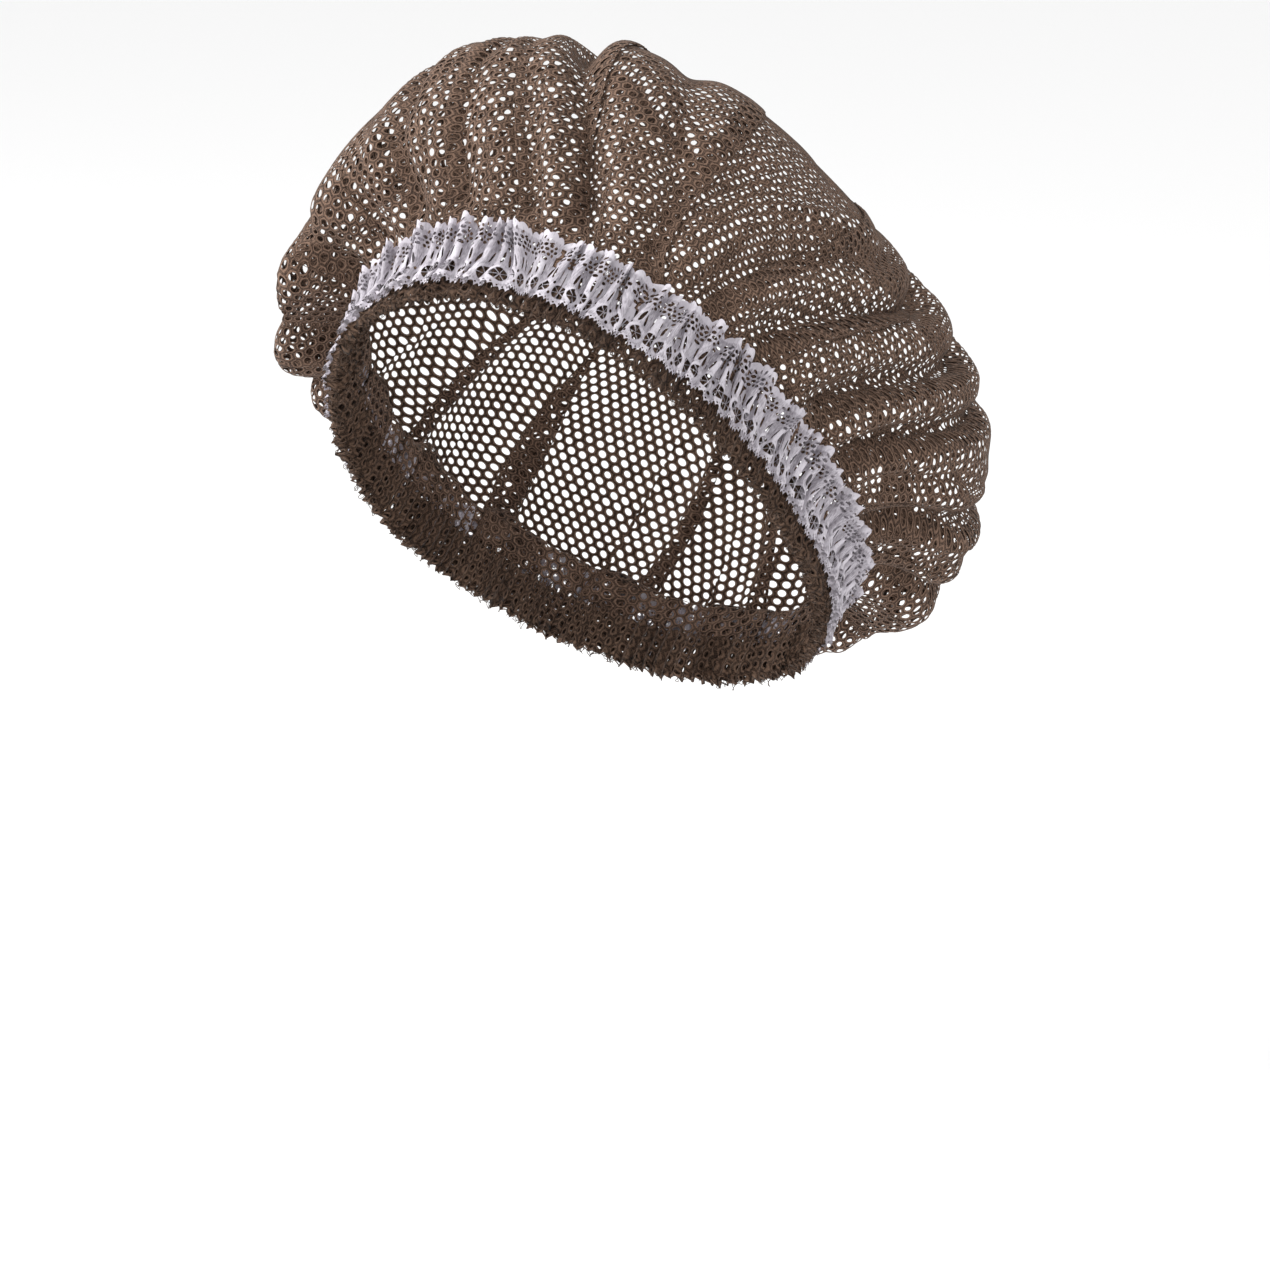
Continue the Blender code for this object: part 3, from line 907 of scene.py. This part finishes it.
def fuzz_path(loop, along):
    """The way of one loose loop of thread, out of the hem's lower edge and back into it."""
    azimuth = random.uniform(0.0, 360.0)
    width = random.uniform(*FUZZ_WIDTH)
    drop = random.uniform(*FUZZ_DROP)
    out = random.uniform(*FUZZ_OUTSIDE)
    curl = random.uniform(*FUZZ_CURL)
    per_degree = np.radians(1.0) * band_radius(azimuth, out)
    sideways = along - 0.5 + 0.3 * np.sin(2 * np.pi * curl * along)
    swing = azimuth + sideways * width / per_degree
    level = -HEM_DEPTH + FUZZ_START - drop * np.sin(np.pi * along) ** 0.8 - band_drop(swing)
    radius = band_radius(swing, out + 0.5 * drop * np.sin(3 * along + loop))
    return place_round(swing, radius, level), place_round(swing, 1.0, np.zeros_like(swing))


def build_fuzz(material):
    """Small loose loops of thread along the hem's lower edge, as one mesh of thin tubes."""
    along = np.linspace(0.0, 1.0, FUZZ_STEPS)
    turn = (2 * np.pi * np.arange(FUZZ_SIDES) / FUZZ_SIDES)[None, :, None]
    points, faces = [], []
    for loop in range(FUZZ_LOOPS):
        path, outward = fuzz_path(loop, along)
        ahead = np.gradient(path, axis=0)
        ahead /= np.linalg.norm(ahead, axis=1, keepdims=True)
        side = np.cross(ahead, outward)
        side /= np.linalg.norm(side, axis=1, keepdims=True)
        top = np.cross(side, ahead)
        spokes = np.cos(turn) * side[:, None] + np.sin(turn) * top[:, None]
        points.append((path[:, None] + FUZZ_THICKNESS * spokes).reshape(-1, 3))
        for step in range(FUZZ_STEPS - 1):
            first = (loop * FUZZ_STEPS + step) * FUZZ_SIDES
            for corner in range(FUZZ_SIDES):
                here, there = first + corner, first + (corner + 1) % FUZZ_SIDES
                faces.append((here, there, there + FUZZ_SIDES, here + FUZZ_SIDES))
    points = lean_back(np.concatenate(points))
    flat = np.stack([np.arange(len(points)) * 0.0001, np.zeros(len(points))], axis=-1)
    return make_object("hem_fuzz", points, np.array(faces), flat, np.ones(len(points)), material)


# Materials


def make_group(name, inputs, outputs):
    """An empty node group with named sockets, and its input and output nodes."""
    group = bpy.data.node_groups.new(name, "ShaderNodeTree")
    for socket, kind, value in inputs:
        made = group.interface.new_socket(socket, in_out="INPUT", socket_type=kind)
        made.default_value = value
    for socket, kind in outputs:
        group.interface.new_socket(socket, in_out="OUTPUT", socket_type=kind)
    return group, group.nodes.new("NodeGroupInput"), group.nodes.new("NodeGroupOutput")


def math_node(nodes, links, operation, first, second=None, third=None):
    """A Math node whose inputs are sockets or plain numbers; returns its output."""
    node = nodes.new("ShaderNodeMath")
    node.operation = operation
    for index, value in enumerate((first, second, third)):
        if value is None:
            continue
        if isinstance(value, (int, float)):
            node.inputs[index].default_value = value
        else:
            links.new(value, node.inputs[index])
    return node.outputs[0]


def thread_grain_group():
    """Fine fibres on cloth coordinates in centimetres: a height for bump and a mask of the grain."""
    group, entry, leave = make_group(
        "thread grain",
        (("Fibre Scale", "NodeSocketFloat", 60.0), ("Along", "NodeSocketFloat", 4.0)),
        (("Height", "NodeSocketFloat"), ("Mask", "NodeSocketFloat")),
    )
    nodes, links = group.nodes, group.links
    place = nodes.new("ShaderNodeUVMap")
    place.uv_map = "cloth"
    split = nodes.new("ShaderNodeSeparateXYZ")
    links.new(place.outputs["UV"], split.inputs[0])
    squeeze = nodes.new("ShaderNodeCombineXYZ")
    squeezed = math_node(nodes, links, "DIVIDE", split.outputs["Y"], entry.outputs["Along"])
    links.new(split.outputs["X"], squeeze.inputs["X"])
    links.new(squeezed, squeeze.inputs["Y"])
    fibre = nodes.new("ShaderNodeTexNoise")
    fibre.inputs["Detail"].default_value = 3.0
    links.new(squeeze.outputs[0], fibre.inputs["Vector"])
    links.new(entry.outputs["Fibre Scale"], fibre.inputs["Scale"])
    patch = nodes.new("ShaderNodeTexNoise")
    patch.inputs["Scale"].default_value = 1.3
    patch.inputs["Detail"].default_value = 2.0
    links.new(place.outputs["UV"], patch.inputs["Vector"])
    patches = math_node(nodes, links, "MULTIPLY", patch.outputs["Fac"], 0.4)
    both = math_node(nodes, links, "ADD", fibre.outputs["Fac"], patches)
    links.new(fibre.outputs["Fac"], leave.inputs["Height"])
    links.new(both, leave.inputs["Mask"])
    return group


def cloth_material(name, grain, finish):
    """A cloth finish: dark and light thread mixed by the grain and by the rise attribute, with bump and a
    soft sheen; on the net the rise gives the strands' lines and painted shade at the holes' edges and
    between the strands.
    """
    material = bpy.data.materials.new(name)
    material.use_nodes = True
    nodes, links = material.node_tree.nodes, material.node_tree.links
    shader = nodes["Principled BSDF"]
    shader.inputs["Roughness"].default_value = finish["roughness"]
    shader.inputs["Sheen Weight"].default_value = finish["sheen"]
    shader.inputs["Sheen Roughness"].default_value = 0.5
    shader.inputs["Specular IOR Level"].default_value = 0.2
    fibres = nodes.new("ShaderNodeGroup")
    fibres.node_tree = grain
    fibres.inputs["Fibre Scale"].default_value = finish["fibre_scale"]
    fibres.inputs["Along"].default_value = finish["along"]
    rise = nodes.new("ShaderNodeAttribute")
    rise.attribute_name = "rise"
    # Light and dark by rise: on the net the lines of the thread's strands, with painted shade at each
    # hole's edge and in the groove between the strands; on the lace, its denser work lighter
    rise_turns, start = finish["rise_turns"], finish["start"]
    turn = math_node(nodes, links, "MULTIPLY_ADD", rise.outputs["Fac"], rise_turns, start)
    wave = math_node(nodes, links, "SINE", turn)
    rise_pattern = math_node(nodes, links, "MULTIPLY_ADD", wave, 0.5, 0.5)
    lit = math_node(nodes, links, "MULTIPLY_ADD", rise_pattern, finish["edge"], fibres.outputs["Mask"])
    spread = nodes.new("ShaderNodeMapRange")
    spread.inputs["From Min"].default_value = finish["low"]
    spread.inputs["From Max"].default_value = finish["high"]
    links.new(lit, spread.inputs["Value"])
    mix = nodes.new("ShaderNodeMix")
    mix.data_type = "RGBA"
    mix.inputs["A"].default_value = (*finish["dark"], 1.0)
    mix.inputs["B"].default_value = (*finish["light"], 1.0)
    links.new(spread.outputs[0], mix.inputs["Factor"])
    links.new(mix.outputs["Result"], shader.inputs["Base Color"])
    bump = nodes.new("ShaderNodeBump")
    bump.inputs["Strength"].default_value = 1.0
    bump.inputs["Distance"].default_value = 0.0002
    links.new(fibres.outputs["Height"], bump.inputs["Height"])
    links.new(bump.outputs["Normal"], shader.inputs["Normal"])
    return material


def floor_material():
    """Plain pale floor."""
    material = bpy.data.materials.new("pale floor")
    material.use_nodes = True
    shader = material.node_tree.nodes["Principled BSDF"]
    shader.inputs["Base Color"].default_value = (0.9, 0.9, 0.9, 1.0)
    shader.inputs["Roughness"].default_value = 0.8
    return material


# View and light


def look_from(thing, place, target):
    """Adds a camera or a light to the scene, at a place and turned to a target."""
    thing.location = place
    thing.rotation_mode = "QUATERNION"
    thing.rotation_quaternion = (Vector(target) - Vector(place)).to_track_quat("-Z", "Y")
    bpy.context.scene.collection.objects.link(thing)


def build_camera():
    """The photograph's view: a long lens, a little above the cap, to the wearer's front left."""
    azimuth, elevation = np.radians(VIEW_AZIMUTH), np.radians(VIEW_ELEVATION)
    right = np.array([np.cos(azimuth), np.sin(azimuth), 0.0])
    level = np.array([np.sin(azimuth), -np.cos(azimuth), 0.0])
    out = level * np.cos(elevation) + np.array([0.0, 0.0, np.sin(elevation)])
    up = np.cross(out, right)
    aim = (IMAGE_PIXELS / 2 - np.array(ORIGIN_PIXEL)) / PIXELS_PER_METRE
    data = bpy.data.cameras.new("camera")
    data.sensor_width = SENSOR_WIDTH
    data.lens = SENSOR_WIDTH * PIXELS_PER_METRE * VIEW_DISTANCE / IMAGE_PIXELS
    camera = bpy.data.objects.new("camera", data)
    look_from(camera, out * VIEW_DISTANCE, aim[0] * right - aim[1] * up)
    bpy.context.scene.camera = camera


def build_stage():
    """A plain pale floor and soft light from all round."""
    mesh = bpy.data.meshes.new("floor")
    sides = (-1, -1), (1, -1), (1, 1), (-1, 1)
    corners = [(FLOOR_REACH * x, FLOOR_REACH * y, FLOOR_HEIGHT) for x, y in sides]
    mesh.from_pydata(corners, [], [(0, 1, 2, 3)])
    mesh.materials.append(floor_material())
    floor = bpy.data.objects.new("floor", mesh)
    bpy.context.scene.collection.objects.link(floor)
    world = bpy.data.worlds.new("studio")
    world.use_nodes = True
    background = world.node_tree.nodes["Background"]
    background.inputs["Color"].default_value = (1.0, 1.0, 1.0, 1.0)
    background.inputs["Strength"].default_value = 1.0
    bpy.context.scene.world = world
    bpy.context.scene.view_settings.view_transform = "Standard"
    for name, place, size, power in LIGHTS:
        data = bpy.data.lights.new(name, "AREA")
        data.size = size
        data.energy = power
        look_from(bpy.data.objects.new(name, data), place, (0.0, 0.0, 0.0))


def main():
    """Dresses the solids, piece by piece, and sets up the view."""
    grain = thread_grain_group()
    net = cloth_material("brown net", grain, NET_FINISH)
    casing = cloth_material("brown casing", grain, CASING_FINISH)
    lace = cloth_material("lilac lace", grain, LACE_FINISH)
    for piece in build_lace(lace):
        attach(piece, "root")
        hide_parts("lace_band")
    hem = build_hem(casing)
    fuzz = build_fuzz(casing)
    for piece in (hem, fuzz):
        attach(piece, "root")
        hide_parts("hem")
    for piece in build_crown(net):
        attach(piece, "root")
        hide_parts("crown")
    build_camera()
    build_stage()


main()
